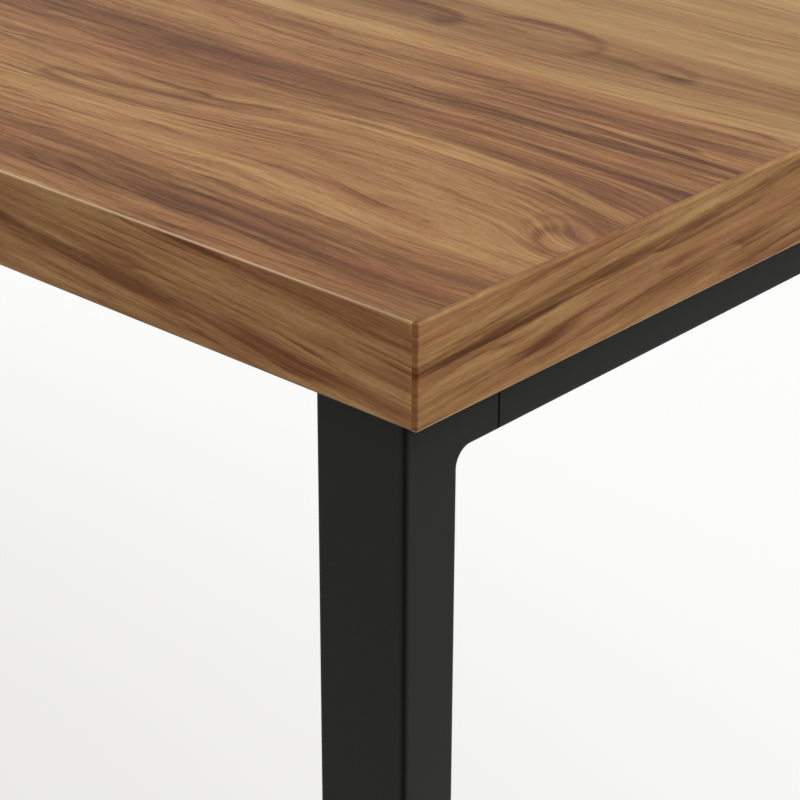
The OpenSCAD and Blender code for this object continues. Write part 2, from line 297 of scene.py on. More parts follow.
def feed(tree, node, inputs):
    """Fills the node's inputs, given by name, or in order over those in use.

    Each is a plain value, a socket to link, or a node, which stands for the first of its outputs in use."""
    by_name = isinstance(inputs, dict)
    sockets = [node.inputs[name] for name in inputs] if by_name else in_use(node.inputs)
    for socket, value in zip(sockets, inputs.values() if by_name else inputs):
        if isinstance(value, bpy.types.Node):
            value = in_use(value.outputs)[0]
        if isinstance(value, bpy.types.NodeSocket):
            tree.links.new(value, socket)
        else:
            socket.default_value = value


def add(tree, kind, inputs=(), **settings):
    """Adds a shader node with its settings and inputs."""
    node = tree.nodes.new("ShaderNode" + kind)
    for name, value in settings.items():
        setattr(node, name, value)
    feed(tree, node, inputs)
    return node


def new_material(name, colour=WHITE, roughness=0.5, metallic=0.0, specular=0.5):
    """A plain material, as (material, node tree, surface)."""
    material = bpy.data.materials.new(name)
    material.use_nodes = True
    tree = material.node_tree
    tree.nodes.clear()
    surface = add(tree, "BsdfPrincipled", {
        "Base Color": colour4(colour), "Roughness": roughness, "Metallic": metallic,
        "Specular IOR Level": specular})
    add(tree, "OutputMaterial", (surface,))
    return material, tree, surface


def colour4(colour):
    """The colour with full opacity."""
    return (*colour[:3], 1)


def fill_ramp(node, stops):
    """Sets a colour ramp's stops from (position, colour) pairs; a plain number is a grey."""
    elements = node.color_ramp.elements
    while len(elements) < len(stops):
        elements.new(0.5)
    for element, (position, colour) in zip(elements, stops):
        element.position = position
        element.color = (colour, colour, colour, 1) if isinstance(colour, float) else colour4(colour)


def mottling(tree, place, cells, seed=0.0, detail=2.0, roughness=0.5):
    """Soft light and dark patches, with a number of cells per metre along each axis, moved by the seed."""
    moved = add(tree, "VectorMath", (place, cells, (seed, seed * 1.7, seed * 0.3)), operation="MULTIPLY_ADD")
    return add(tree, "TexNoise", {"Vector": moved, "Scale": 1.0, "Detail": detail, "Roughness": roughness})


def weighted(tree, value, weight, onto=0.0):
    """onto + weight * (value - 0.5)"""
    centred = add(tree, "Math", (value, 0.5), operation="SUBTRACT")
    return add(tree, "Math", (centred, weight, onto), operation="MULTIPLY_ADD")


def roundness(tree):
    """0 on flat faces to 1 amid the rounded edges between them, and how far the surface faces up or down."""
    normal = add(tree, "TexCoord").outputs["Normal"]
    x, y, z = add(tree, "SeparateXYZ", (add(tree, "VectorMath", (normal,), operation="ABSOLUTE"),)).outputs
    largest = add(tree, "Math", (x, y), operation="MAXIMUM")
    largest = add(tree, "Math", (largest, z), operation="MAXIMUM")
    return add(tree, "MapRange", (largest, 0.99, 0.78)), z


def dress(names, material):
    """Gives the CAD nodes the material."""
    for name in names:
        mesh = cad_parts[name].data
        mesh.materials.clear()
        mesh.materials.append(material)


def nodes_named(*starts):
    """The CAD nodes whose names start so."""
    return [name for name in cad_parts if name.startswith(starts)]


# ---- Walnut ----

# Each face of the top has its own figure. Places are in mm, from the right end and the front edge. On the
# bands they are from the upper edge, and on the end bands from the front end. Tone 0 is dark and 1 is pale.

# Growth lines part round an eye: (from the end, from the edge, half length, half width, lift).
TOP_EYES = (
    (108, 96, 88, 44, -14),
    (-22, 104, 44, 34, 9),
    (-10, 214, 70, 24, -7),
    (225, 90, 80, 16, 5),
    (6, 79, 18, 13, 8),
    (44, 72, 34, 10, -5),
    (40, 20, 60, 14, 4),
    (560, 170, 150, 26, 16),
    (900, 500, 160, 40, -20),
    (1180, 300, 130, 30, 17),
)

# Tone across the top: (from the front edge, tone).
TOP_TONES = (
    (0, 0.44), (9, 0.52), (17, 0.32), (33, 0.34), (41, 0.52), (56, 0.59), (90, 0.62),
    (114, 0.56), (126, 0.39), (144, 0.35), (156, 0.50), (167, 0.57), (178, 0.44), (191, 0.48), (203, 0.74),
    (211, 0.58), (230, 0.44), (250, 0.52), (268, 0.78), (294, 0.57), (314, 0.74), (330, 0.58), (350, 0.76),
    (410, 0.45), (490, 0.62), (530, 0.34), (590, 0.58), (660, 0.46), (720, 0.64), (762, 0.56))

# Soft streaks: (from the end, from the edge, half length, half width, change of tone).
TOP_STREAKS = (
    (85, 24, 70, 8, -0.24),
    (200, 34, 50, 5, -0.18),
    (198, 139, 70, 9, -0.17),
    (62, 146, 40, 5, -0.16),
    (77, 232, 7, 3.5, -0.24),
    (191, 230, 8, 5, -0.26),
    (225, 234, 34, 7, -0.14),
    (102, 236, 26, 5, -0.12),
    (186, 254, 40, 2.4, -0.16),
    (248, 243, 30, 2.2, -0.18),
    (80, 105, 80, 6, -0.12),
    (16, 106, 36, 12, -0.14),
    (22, 7, 26, 5, -0.12),
    (110, 104, 55, 14, 0.14),
    (4, 82, 10, 5, 0.10),
    (36, 121, 60, 3.2, -0.22),
    (72, 130, 60, 2.6, 0.16),
    (22, 139, 40, 3, -0.20),
    (100, 149, 60, 3, 0.14),
    (28, 152, 45, 2.6, 0.16),
    (64, 160, 70, 3.2, -0.20),
    (18, 167, 40, 2.4, -0.22),
    (46, 173, 50, 2.6, 0.14),
    (30, 181, 60, 3.2, -0.24),
    (84, 189, 60, 3, -0.12),
)
FRONT_STREAKS = (
    (132, 33, 36, 3.0, -0.24),
    (60, 31.5, 28, 2.8, -0.26),
    (100, 33, 140, 3.2, -0.24),
    (225, 34, 60, 5, -0.22),
    (95, 9, 16, 1.3, -0.42),
    (20, 9, 26, 3, -0.06),
    (60, 9.5, 60, 1.6, -0.14),
    (90, 15, 110, 5, 0.12),
    (155, 23, 55, 5, 0.14),
    (25, 37, 40, 3.5, 0.08),
    (130, 43, 90, 5, -0.08),
    (55, 20, 60, 4.5, 0.08),
    (500, 22, 90, 4, -0.24),
    (800, 40, 120, 5, -0.26),
    (1150, 60, 70, 4, -0.30),
)
END_STREAKS = (
    (20, 17.5, 40, 2.8, -0.34),
    (75, 17.5, 60, 2.2, -0.28),
    (140, 17.0, 50, 2.0, -0.20),
    (62, 29.4, 14, 2.2, -0.46),
    (135, 27.9, 13, 1.7, -0.42),
    (132, 34.3, 34, 2.8, -0.20),
    (175, 41.6, 20, 4, -0.26),
    (45, 23.5, 40, 2.6, 0.08),
    (14, 36, 30, 3, 0.05),
    (100, 30.5, 26, 2.6, 0.10),
    (125, 12, 40, 5, 0.10),
    (145, 42, 50, 4, 0.08),
    (60, 8, 80, 4, 0.06),
    (380, 40, 60, 4, -0.26),
    (560, 52, 40, 4, -0.30),
)

# Growth lines that turn back: (from the end, from the edge, half length, half width, change of tone). A
# turn opens away from the end, or towards it where the half length is negative. It shows on its far half,
# or on its near half where the half width is negative.
TOP_TURNS = (
    (212, 88, -48, 8, -0.20),
    (212, 88, -48, -8, -0.14),
    (7, 82, -12, 9, -0.25),
    (7, 82, -12, -9, -0.22),
    (7, 82, -20, 16, -0.16),
    (154, 238, 34, 17, -0.30),
    (214, 234, 26, 9, -0.32),
    (90, 236, 17, 7, -0.22),
)

# How far the dark line of a turn spreads to each side, in mm
TURN_SPREAD = 4.8

# Where the brown streaks stand out most: (from the end, from the edge, half length, half width).
TOP_STRIPES = (35, 156, 105, 40)

# slant is how far the growth lines climb along the grain, and wave how much of GRAIN_WAVES they take. They
# wave less past calm, and the whole figure is milder past soft.
EVEN_TONES = ((0, 0.5), (1, 0.5))
TOP_FIGURE = {
    "seed": 1.0, "tones": TOP_TONES, "eyes": TOP_EYES, "streaks": TOP_STREAKS, "turns": TOP_TURNS,
    "stripes": TOP_STRIPES, "calm": 125, "soft": 195, "contrast": 1.2}
FRONT_FIGURE = {
    "seed": 21.0, "tones": ((0, 0.66), (1, 0.66)), "streaks": FRONT_STREAKS, "slant": 0.075, "wave": 0.45,
    "contrast": 1.32, "cast": (1.04, 0.98, 1.0)}
END_FIGURE = {
    "seed": 37.0, "tones": ((0, 0.55), (1, 0.55)), "streaks": END_STREAKS, "slant": 0.063, "wave": 0.45,
    "contrast": 1.15}
BACKING_FIGURE = {"seed": 61.0, "contrast": 0.7}

# Waves in the growth lines: (cells per metre along, across and into the grain, height in metres).
GRAIN_WAVES = (((3, 12, 9), 0.012), ((9, 34, 34), 0.006), ((28, 100, 90), 0.0034), ((90, 300, 300), 0.0013))

# Streaks of four sizes: (cells per metre along, cells per ring across, weight, detail, bolder in stripes).
GRAIN_STREAKS = (
    (2.2, 0.25, 0.40, 1, False),
    (6, 0.8, 0.46, 2, True),
    (18, 2.2, 0.60, 3, False),
    (60, 5, 0.40, 3, False),
)

# What each pattern of a veneer adds to the veneer's own seed
PORE_SEED, SHOWN_SEED, BLUSH_SEED, RAG_SEED, DRIFT_SEED = 5, 7, 9, 11, 13

# Past soft, the figure and the pores fade by these shares, and the wood is a little less red.
MILD_FIGURE, MILD_PORES, MILD_CAST = 0.35, 0.55, (0.97, 1.05, 1.04)

Veneer = namedtuple("Veneer", "material tree surface colour along across")


def grain_space(tree, axes):
    """Object coordinates as (along, across, into) the grain, each measured inwards from the named face."""
    split = add(tree, "SeparateXYZ", (add(tree, "TexCoord").outputs["Object"],))
    measured = []
    for letter, face, inwards in axes:
        moved = add(tree, "Math", (split.outputs[letter], face), operation="SUBTRACT")
        measured.append(add(tree, "Math", (moved, inwards), operation="MULTIPLY"))
    return measured[0], measured[1], add(tree, "CombineXYZ", measured)


def ellipse_space(tree, place, x, y, half_length, half_width):
    """The place as seen from the middle of an ellipse, where the ellipse's edge is at length 1."""
    local = add(tree, "Mapping", {
        "Vector": place, "Location": (x * MM, y * MM, 0), "Scale": (half_length * MM, half_width * MM, 1)},
        vector_type="TEXTURE")
    return add(tree, "VectorMath", (local, (1, 1, 0)), operation="MULTIPLY")


def ellipse_radius(tree, place, *ellipse):
    """Distance from the ellipse's middle, as a share of the way to its edge."""
    return add(tree, "VectorMath", (ellipse_space(tree, place, *ellipse),), operation="LENGTH")


def ellipse_distance(tree, place, x, y, half_length, half_width):
    """Distance from the ellipse's edge, in metres."""
    inside = ellipse_space(tree, place, x, y, half_length, half_width)
    radius = add(tree, "VectorMath", (inside,), operation="LENGTH")
    per_metre = (1 / half_length / MM, 1 / half_width / MM, 0)
    slope = add(tree, "VectorMath", (inside, per_metre), operation="MULTIPLY")
    steepness = add(tree, "VectorMath", (slope,), operation="LENGTH")
    beyond = add(tree, "Math", (radius, 1.0), operation="SUBTRACT")
    share = add(tree, "Math", (beyond, radius), operation="MULTIPLY")
    distance = add(tree, "Math", (share, steepness), operation="DIVIDE")
    return add(tree, "Math", (distance,), operation="ABSOLUTE")


def from_nearer_end(tree, along, length):
    """Distance from the nearer end, in metres."""
    from_far_end = add(tree, "Math", (length, along), operation="SUBTRACT")
    return add(tree, "Math", (along, from_far_end), operation="MINIMUM")


def growth_height(tree, along, across, place, seed, slant, wave, calm, eyes):
    """The height whose level lines are the growth lines, so that a bump or a wave in it bends them."""
    waves = 0.0
    for cells, lift in GRAIN_WAVES:
        waves = weighted(tree, mottling(tree, place, cells, seed + lift), lift, waves)
    if calm:
        limits = (calm * MM, 1.3 * calm * MM, wave, 0.4 * wave)
        wave = add(tree, "MapRange", (across, *limits), **SMOOTH)
    waved = add(tree, "Math", (waves, wave, across), operation="MULTIPLY_ADD")
    height = add(tree, "Math", (along, slant, waved), operation="MULTIPLY_ADD")
    for *ellipse, lift in eyes:
        radius = ellipse_radius(tree, place, *ellipse)
        rise = add(tree, "MapRange", (radius, 1.6, 0, 0, lift * MM), **SMOOTH)
        height = add(tree, "Math", (height, rise), operation="ADD")
    return height


def drawn_tone(tree, along, height, lines, seed, tones, streaks, turns):
    """The tone that the figure's own bands, streaks and turns give."""
    pitch, last = bpy.context.scene.table_wood.ring_pitch, tones[-1][0]
    tone = add(tree, "ValToRGB", (add(tree, "Math", (height, last * MM), operation="DIVIDE"),))
    fill_ramp(tone, [(at / last, level) for at, level in tones])
    rag = mottling(tree, lines, (22, 2.6 / pitch, 1), seed + RAG_SEED, 3, 0.6)
    for *ellipse, change in streaks:
        radius = weighted(tree, rag, 2.2, ellipse_radius(tree, lines, *ellipse))
        streak = add(tree, "MapRange", (radius, 1.6, 0.2, 0, change), **SMOOTH)
        tone = add(tree, "Math", (tone, streak), operation="ADD")
    for x, y, half_length, half_width, change in turns:
        away = weighted(tree, rag, 2 * MM, ellipse_distance(tree, lines, x, y, half_length, half_width))
        turn = add(tree, "MapRange", (away, TURN_SPREAD * MM, 0, 0, change), **SMOOTH)
        shown_half = add(tree, "MapRange", (height, (y - half_width) * MM, (y + half_width) * MM))
        full, gone = (x + 0.1 * half_length) * MM, (x + 0.9 * half_length) * MM
        closed = add(tree, "MapRange", (along, full, gone, 1, 0))
        turn = add(tree, "Math", (turn, shown_half), operation="MULTIPLY")
        turn = add(tree, "Math", (turn, closed), operation="MULTIPLY")
        tone = add(tree, "Math", (tone, turn), operation="ADD")
    return tone


def late_wood(tree, height, lines, seed, bold):
    """1 on the thin dark lines that close the rings, and which come and go along the grain."""
    pitch = bpy.context.scene.table_wood.ring_pitch
    drift = mottling(tree, lines, (7, 0.2 / pitch, 1), seed + DRIFT_SEED)
    rings = weighted(tree, drift, 6.0, add(tree, "Math", (height, pitch), operation="DIVIDE"))
    late = add(tree, "ValToRGB", (add(tree, "Math", (rings,), operation="FRACT"),))
    fill_ramp(late, ((0.0, 0.55), (0.06, 0.0), (0.45, 0.0), (0.86, 0.55), (0.95, 1.0), (1.0, 0.55)))
    shown = mottling(tree, lines, (17, 0.7 / pitch, 1), seed + SHOWN_SEED, 3)
    shown = add(tree, "MapRange", (shown, 0.42, 0.66))
    bolder = add(tree, "Math", (bold, 1.0), operation="SUBTRACT")
    shown = add(tree, "Math", (bolder, 0.25, shown), operation="MULTIPLY_ADD")
    return add(tree, "Math", (late, shown), operation="MULTIPLY")


def walnut(name, axes, seed, contrast, tones=EVEN_TONES, eyes=(), streaks=(), turns=(), stripes=None,
           slant=0.0, wave=1.0, calm=None, soft=None, cast=WHITE):
    """Sliced walnut veneer in satin lacquer: soft brown streaks, ragged growth lines and short dark pores."""
    wood = bpy.context.scene.table_wood
    late_shade, pore_shade, pit_shade = -0.32, -0.38, -0.13
    material, tree, surface = new_material(name, specular=0.1)
    along, across, place = grain_space(tree, axes)
    height = growth_height(tree, along, across, place, seed, slant, wave, calm, eyes)
    lines = add(tree, "CombineXYZ", (along, height))
    mild, bold = 0.0, 1.0
    if soft:
        mild = add(tree, "MapRange", (across, soft * MM, 1.15 * soft * MM), **SMOOTH)
    if stripes:
        radius = ellipse_radius(tree, place, *stripes)
        bold = add(tree, "MapRange", (radius, 1.2, 0.6, 1, 2.2), **SMOOTH)
    contrast = add(tree, "Math", (mild, -MILD_FIGURE * contrast, contrast), operation="MULTIPLY_ADD")

    tone = drawn_tone(tree, along, height, lines, seed, tones, streaks, turns)
    for cells, ring_cells, weight, detail, bolder in GRAIN_STREAKS:
        streak = mottling(tree, lines, (cells, ring_cells / wood.ring_pitch, 1), seed + detail, detail, 0.6)
        strength = add(tree, "Math", (contrast, weight), operation="MULTIPLY")
        if bolder:
            strength = add(tree, "Math", (strength, bold), operation="MULTIPLY")
        tone = weighted(tree, streak, strength, tone)
    late = late_wood(tree, height, lines, seed, bold)
    darker = add(tree, "Math", (contrast, late_shade), operation="MULTIPLY")
    tone = add(tree, "Math", (late, darker, tone), operation="MULTIPLY_ADD")

    ground = add(tree, "ValToRGB", (tone,))
    fill_ramp(ground, ((0.06, wood.dark), (0.34, wood.brown), (0.58, wood.tan), (0.94, wood.light)))
    red_stripes = mottling(tree, lines, (6, 90, 1), seed + BLUSH_SEED, 3)
    blush = add(tree, "MapRange", (red_stripes, 0.46, 0.70, 0, 0.45))
    tinted = add(tree, "Mix", (blush, ground, colour4(wood.red)), **BLEND)
    shade = add(tree, "Mix", (mild, colour4(cast), colour4(MILD_CAST)), **BLEND)
    tinted = add(tree, "Mix", (1.0, tinted, shade), **SHADE)

    # The pores are dark pits about 3 mm long.
    pore = mottling(tree, lines, (300, 1 / wood.pore_width, 1), seed + PORE_SEED, 3, 0.75)
    open_pores = add(tree, "Math", (mild, -MILD_PORES, 1.0), operation="MULTIPLY_ADD")
    pits = add(tree, "MapRange", (pore, 0.58, 0.70))
    pits = add(tree, "Math", (pits, open_pores), operation="MULTIPLY")
    dark = weighted(tree, pore, add(tree, "Math", (open_pores, pore_shade), operation="MULTIPLY"), 1.0)
    dark = add(tree, "Math", (pits, pit_shade, dark), operation="MULTIPLY_ADD")
    colour = add(tree, "Mix", (1.0, tinted, dark), **SHADE)

    sunk = add(tree, "Math", (pits, -1), operation="MULTIPLY")
    relief = add(tree, "Math", (late, -0.8, sunk), operation="MULTIPLY_ADD")
    feed(tree, surface, {
        "Base Color": colour,
        "Roughness": add(tree, "MapRange", (pore, 0.2, 0.8, 0.42, 0.58)),
        "Normal": add(tree, "Bump", {"Height": relief, "Strength": 0.6, "Distance": 0.15 * MM})})
    return Veneer(material, tree, surface, colour, along, across)


def ease_band(veneer, length, joint, glue, over, under, lid, stain=WHITE):
    """Paints highlights and shade on a band's arrises and marks its joints, by shares that are paler above 0
    and darker below it.

    over, under and lid are for its upper arris, its lower one and its upper side. glue is for the glue line,
    which lies joint from the ends and takes the stain. over and lid are pairs: at the ends, and past fade."""
    fade, glue_width, sheet_line, line_width = 60 * MM, 1.2 * MM, 1.7 * MM, 0.9 * MM
    corner_shade, line_shade = -0.2, -0.12
    tree, across = veneer.tree, veneer.across
    edge, upward = roundness(tree)
    near = from_nearer_end(tree, veneer.along, length)

    # The arrises that lie flat, upper and lower, and those that stand upright at the corners
    level = add(tree, "MapRange", (upward, 0.05, 0.3))
    lying = add(tree, "Math", (edge, level), operation="MULTIPLY")
    standing = add(tree, "Math", (edge, lying), operation="SUBTRACT")
    upper = add(tree, "MapRange", (across, 4 * MM, 3 * MM))
    lower = add(tree, "Math", (1.0, upper), operation="SUBTRACT")
    lower = add(tree, "Math", (lying, lower), operation="MULTIPLY")
    # Painted highlight and reflection: over pales the upper arris towards the highlight colour, and under
    # pales the lower arris where it is above 0, standing in for the floor's reflection
    above = add(tree, "Math", (add(tree, "MapRange", (near, 0, fade, *over)), under), operation="SUBTRACT")
    share = add(tree, "Math", (upper, above, under), operation="MULTIPLY_ADD")
    tint = add(tree, "Math", (lying, share), operation="MULTIPLY")
    sanded = colour4(bpy.context.scene.table_wood.sanded)
    paler = add(tree, "Mix", (tint, veneer.colour, sanded), **BLEND)

    # The glue line at the corner, and the shadow line where the face sheet ends
    past_joint = add(tree, "Math", (near, joint), operation="SUBTRACT")
    glue_line = add(tree, "MapRange", (add(tree, "Math", (past_joint,), operation="ABSOLUTE"), glue_width, 0))
    past_sheet = add(tree, "Math", (across, sheet_line), operation="SUBTRACT")
    shadow = add(tree, "MapRange", (add(tree, "Math", (past_sheet,), operation="ABSOLUTE"), line_width, 0))
    lid_side = add(tree, "MapRange", (upward, 0.8, 0.98))
    lid_change = add(tree, "MapRange", (near, 0, fade, *lid))

    # Painted shade along the lower arris where under is below 0, besides the darker upright arrises, the glue
    # line, the shadow line and the upper side's change
    dark = 1.0
    for where, change in (
            (standing, corner_shade), (glue_line, glue), (shadow, line_shade), (lower, min(under, 0.0)),
            (lid_side, lid_change)):
        dark = add(tree, "Math", (where, change, dark), operation="MULTIPLY_ADD")
    stained = add(tree, "Mix", (glue_line, colour4(WHITE), colour4(stain)), **BLEND)
    colour = add(tree, "Mix", (1.0, paler, stained), **SHADE)
    colour = add(tree, "Mix", (1.0, colour, dark), **SHADE)
    feed(tree, veneer.surface, {"Base Color": colour})


class TABLE_OT_lay_veneer(bpy.types.Operator):
    """Gives the top's face sheet, bands and backing their walnut"""
    bl_idname = "table.lay_veneer"
    bl_label = "Lay Veneer"

    def execute(self, context):
        right, front, top = ("X", HIGH.x, -1), ("Y", LOW.y, 1), ("Z", HIGH.z, -1)
        length, width = HIGH.x - LOW.x, HIGH.y - LOW.y
        low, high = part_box("edge_band_right")
        band = high[0] - low[0]

        face = walnut("walnut veneer, satin lacquer", (right, front, top), **TOP_FIGURE)
        tree = face.tree
        # The seams along the end bands are a little darker.
        seam_width, seam_shade = 0.9 * MM, 0.74
        past_end = from_nearer_end(tree, face.along, length)
        seam = add(tree, "MapRange", (past_end, band + seam_width, band, 1, seam_shade))
        colour = add(tree, "Mix", (1.0, face.colour, seam), **SHADE)
        feed(tree, face.surface, {"Base Color": colour})
        dress(["top_face_sheet"], face.material)

        long_band = walnut("walnut long band, satin lacquer", (right, top, front), **FRONT_FIGURE)
        # Painted highlight along the long bands' upper arris, and painted shade along their lower one
        ease_band(long_band, length, joint=band, glue=0.12, over=(0.22, 0.8), under=-0.72, lid=(-0.6, -0.2))
        dress(["edge_band_front", "edge_band_back"], long_band.material)

        end_band = walnut("walnut end band, satin lacquer", (front, top, right), **END_FIGURE)
        # Painted reflection of the white floor along the end bands' lower arris
        ease_band(end_band, width, joint=0, glue=-0.3, over=(0.0, 0.0), under=1.0, lid=(-0.38, -0.22),
                  stain=(1.12, 0.96, 0.87))
        dress(["edge_band_left", "edge_band_right"], end_band.material)

        backing = walnut("walnut backing veneer, sealed", (right, front, top), **BACKING_FIGURE)
        dress(["top_backing_sheet"], backing.material)
        return {"FINISHED"}


class TABLE_OT_press_core(bpy.types.Operator):
    """Gives the core its pressed wood chips"""
    bl_idname = "table.press_core"
    bl_label = "Press Core"

    def execute(self, context):
        wood = context.scene.table_wood
        # Particle board: flat chips of light and dark softwood, sanded dull.
        material, tree, surface = new_material("particle board, sanded", roughness=0.85, specular=0.2)
        place = add(tree, "TexCoord").outputs["Object"]
        chips = add(tree, "TexVoronoi", {"Vector": place, "Scale": 1 / wood.chip})
        tone = add(tree, "SeparateXYZ", (chips.outputs["Color"],))
        shade = add(tree, "MapRange", (tone, 0, 1, 0.65, 1.1))
        colour = add(tree, "Mix", (1.0, colour4(wood.board), shade), **SHADE)
        feed(tree, surface, {"Base Color": colour})
        dress(["top_core"], material)
        return {"FINISHED"}


# ---- Steel ----

class TABLE_OT_coat_frame(bpy.types.Operator):
    """Powder coats the steel frame"""
    bl_idname = "table.coat_frame"
    bl_label = "Coat Frame"

    def execute(self, context):
        dress(nodes_named("leg_", "end_rail", "long_rail"), coat())
        return {"FINISHED"}


def coat():
    """Matt black polyester powder, baked on: a fine even grain, with painted shade over the tubes' rounded
    corners.
    """
    name = "matt black powder coat"
    if name in bpy.data.materials:
        return bpy.data.materials[name]
    steel = bpy.context.scene.table_steel
    material, tree, surface = new_material(name, steel.coat, 0.5, specular=0.05)
    place = add(tree, "TexCoord").outputs["Object"]
    grain = mottling(tree, place, (1 / steel.grit,) * 3, detail=1)
    edge, _ = roundness(tree)
    # Painted shade: the tubes' rounded corners are darkened by up to 0.84 of their roundness, standing in for
    # the little light they throw back
    shade = add(tree, "Math", (edge, -0.84, weighted(tree, grain, 0.25, 1.0)), operation="MULTIPLY_ADD")
    colour = add(tree, "Mix", (1.0, colour4(steel.coat), shade), **SHADE)
    cloud = mottling(tree, place, (9, 9, 3), 4)
    feed(tree, surface, {
        "Base Color": colour,
        "Roughness": weighted(tree, cloud, 0.1, 0.5),
        "Normal": add(tree, "Bump", {"Height": grain, "Strength": 0.3, "Distance": 0.06 * MM})})
    return material


class TABLE_OT_weld_rails(bpy.types.Operator):
    """Welds each long rail's tube to its end plates, along the sides and the bottom"""
    bl_idname = "table.weld_rails"
    bl_label = "Weld Rails"

    def execute(self, context):
        steel = context.scene.table_steel
        low, high = (Vector(corner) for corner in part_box("long_rail_front"))
        middle_top = Vector((high.x - steel.plate, (low.y + high.y) / 2, high.z))
        bead = weld_bead("bead", middle_top, high.z - low.z, steel)
        bead.data.materials.append(coat())
        for side, back in (("front", 0), ("back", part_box("long_rail_back")[0][1] - low.y)):
            for end, across in (("right", 0), ("left", low.x - high.x + 2 * steel.plate)):
                piece = copy_to(bead, f"weld_bead_{side}_{end}", Vector((across, back, 0)))
                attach(piece, "table")
        bpy.data.objects.remove(bead)
        return {"FINISHED"}


def weld_bead(name, middle_top, depth, steel):
    """A rippled bead down one side of a tube, under it and up the other side, below the middle of its top."""
    radius, bend, turn = steel.bead / 2, steel.bead, math.pi / 2 / BEND_STEPS
    side, down, under = steel.rail_width / 2, depth - bend - radius, steel.rail_width - 2 * bend
    ring = start("circle", name, vertices=12, radius=radius, fill_type="NGON",
                 location=middle_top + Vector((0, -side, -radius)))
    place, angle = Vector(ring.location), 0.0
    for length, bend_steps in ((down, BEND_STEPS), (under, BEND_STEPS), (down, 0)):
        count = 2 * round(length / steel.ripple)
        for ripple in range(count):
            place = place + turned(length / count, angle)
            next_ring(place, 1 / RIPPLE_WAIST if ripple % 2 else RIPPLE_WAIST)
        for _ in range(bend_steps):
            place = place + turned(bend * turn, angle + turn / 2)
            angle += turn
            next_ring(place, 1.0, turn)
    return end_edit(ring, 60)


def turned(length, angle):
    """A step of that length: down at angle 0, and to the back at a quarter turn."""
    return Vector((0, math.sin(angle), -math.cos(angle))) * length


def metal(name, colour, roughness):
    """Plated, blackened or turned metal: fine clouding in its gloss."""
    material, tree, surface = new_material(name, colour, roughness, metallic=1.0)
    place = add(tree, "TexCoord").outputs["Object"]
    cloud = mottling(tree, place, (PLATING_CLOUDS,) * 3)
    shade = weighted(tree, cloud, 0.3, 1.0)
    feed(tree, surface, {
        "Base Color": add(tree, "Mix", (1.0, colour4(colour), shade), **SHADE),
        "Roughness": weighted(tree, cloud, 0.25, roughness)})
    return material


class TABLE_OT_finish_fasteners(bpy.types.Operator):
    """Plates and blackens the fasteners, spigots and bushes"""
    bl_idname = "table.finish_fasteners"
    bl_label = "Finish Fasteners"

    def execute(self, context):
        steel = context.scene.table_steel
        plated = metal("zinc-plated steel", steel.zinc, 0.34)
        dress(nodes_named("rail_rivet_nuts", "corner_spigot", "foot_bush"), plated)
        dress(["corner_screws", "rail_bolts", "top_screws"], metal("black oxide steel", steel.oxide, 0.42))
        dress(["top_inserts"], metal("brass, turned", steel.brass, 0.3))
        return {"FINISHED"}


# ---- Feet ----

def plastic(name, colour, roughness):
    """Moulded in a spark-eroded tool: an even fine dimple and a dull sheen."""
    if name in bpy.data.materials:
        return bpy.data.materials[name]
    material, tree, surface = new_material(name, colour, roughness, specular=0.4)
    place = add(tree, "TexCoord").outputs["Object"]
    dimple = mottling(tree, place, (MOULD_DIMPLES,) * 3, detail=1)
    feed(tree, surface, {
        "Roughness": weighted(tree, dimple, 0.2, roughness),
        "Normal": add(tree, "Bump", {"Height": dimple, "Strength": 0.3, "Distance": 0.05 * MM})})
    return material


def foot_levels():
    """The first foot's axis, and its parts' heights from the floor up."""
    low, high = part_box("foot_stem_front_right")
    pad_low, pad_high = (corner[2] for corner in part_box("foot_pad_front_right"))
    play = bpy.context.scene.table_foot.play
    return {
        "axis": Vector(((low[0] + high[0]) / 2, (low[1] + high[1]) / 2, 0)), "flats": high[1] - low[1],
        "head": low[2], "stem_top": high[2], "pad": pad_low, "pad_top": pad_high,
        "collar": pad_high + play, "plug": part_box("foot_plug_front_right")[0][2] - play,
        "grip_top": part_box("foot_grip_front_right")[1][2]}


def fit_feet(piece, start_of_name, body, material):
    """Puts the finished piece under the front right leg and its copies under the others."""
    piece.data.materials.append(material)
    first = middle("foot_pad_front_right")
    for corner in CORNERS:
        twin = copy_to(piece, f"{start_of_name}_shape_{corner}", middle(f"foot_pad_{corner}") - first)
        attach(twin, f"{body}_{corner}")
        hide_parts(f"{start_of_name}_{corner}")
    bpy.data.objects.remove(piece)


class TABLE_OT_mould_plugs(bpy.types.Operator):
    """Gives the plugs in the legs their nylon"""
    bl_idname = "table.mould_plugs"
    bl_label = "Mould Plugs"

    def execute(self, context):
        dress(nodes_named("foot_plug"), plastic("black nylon, moulded", context.scene.table_foot.nylon, 0.5))
        return {"FINISHED"}


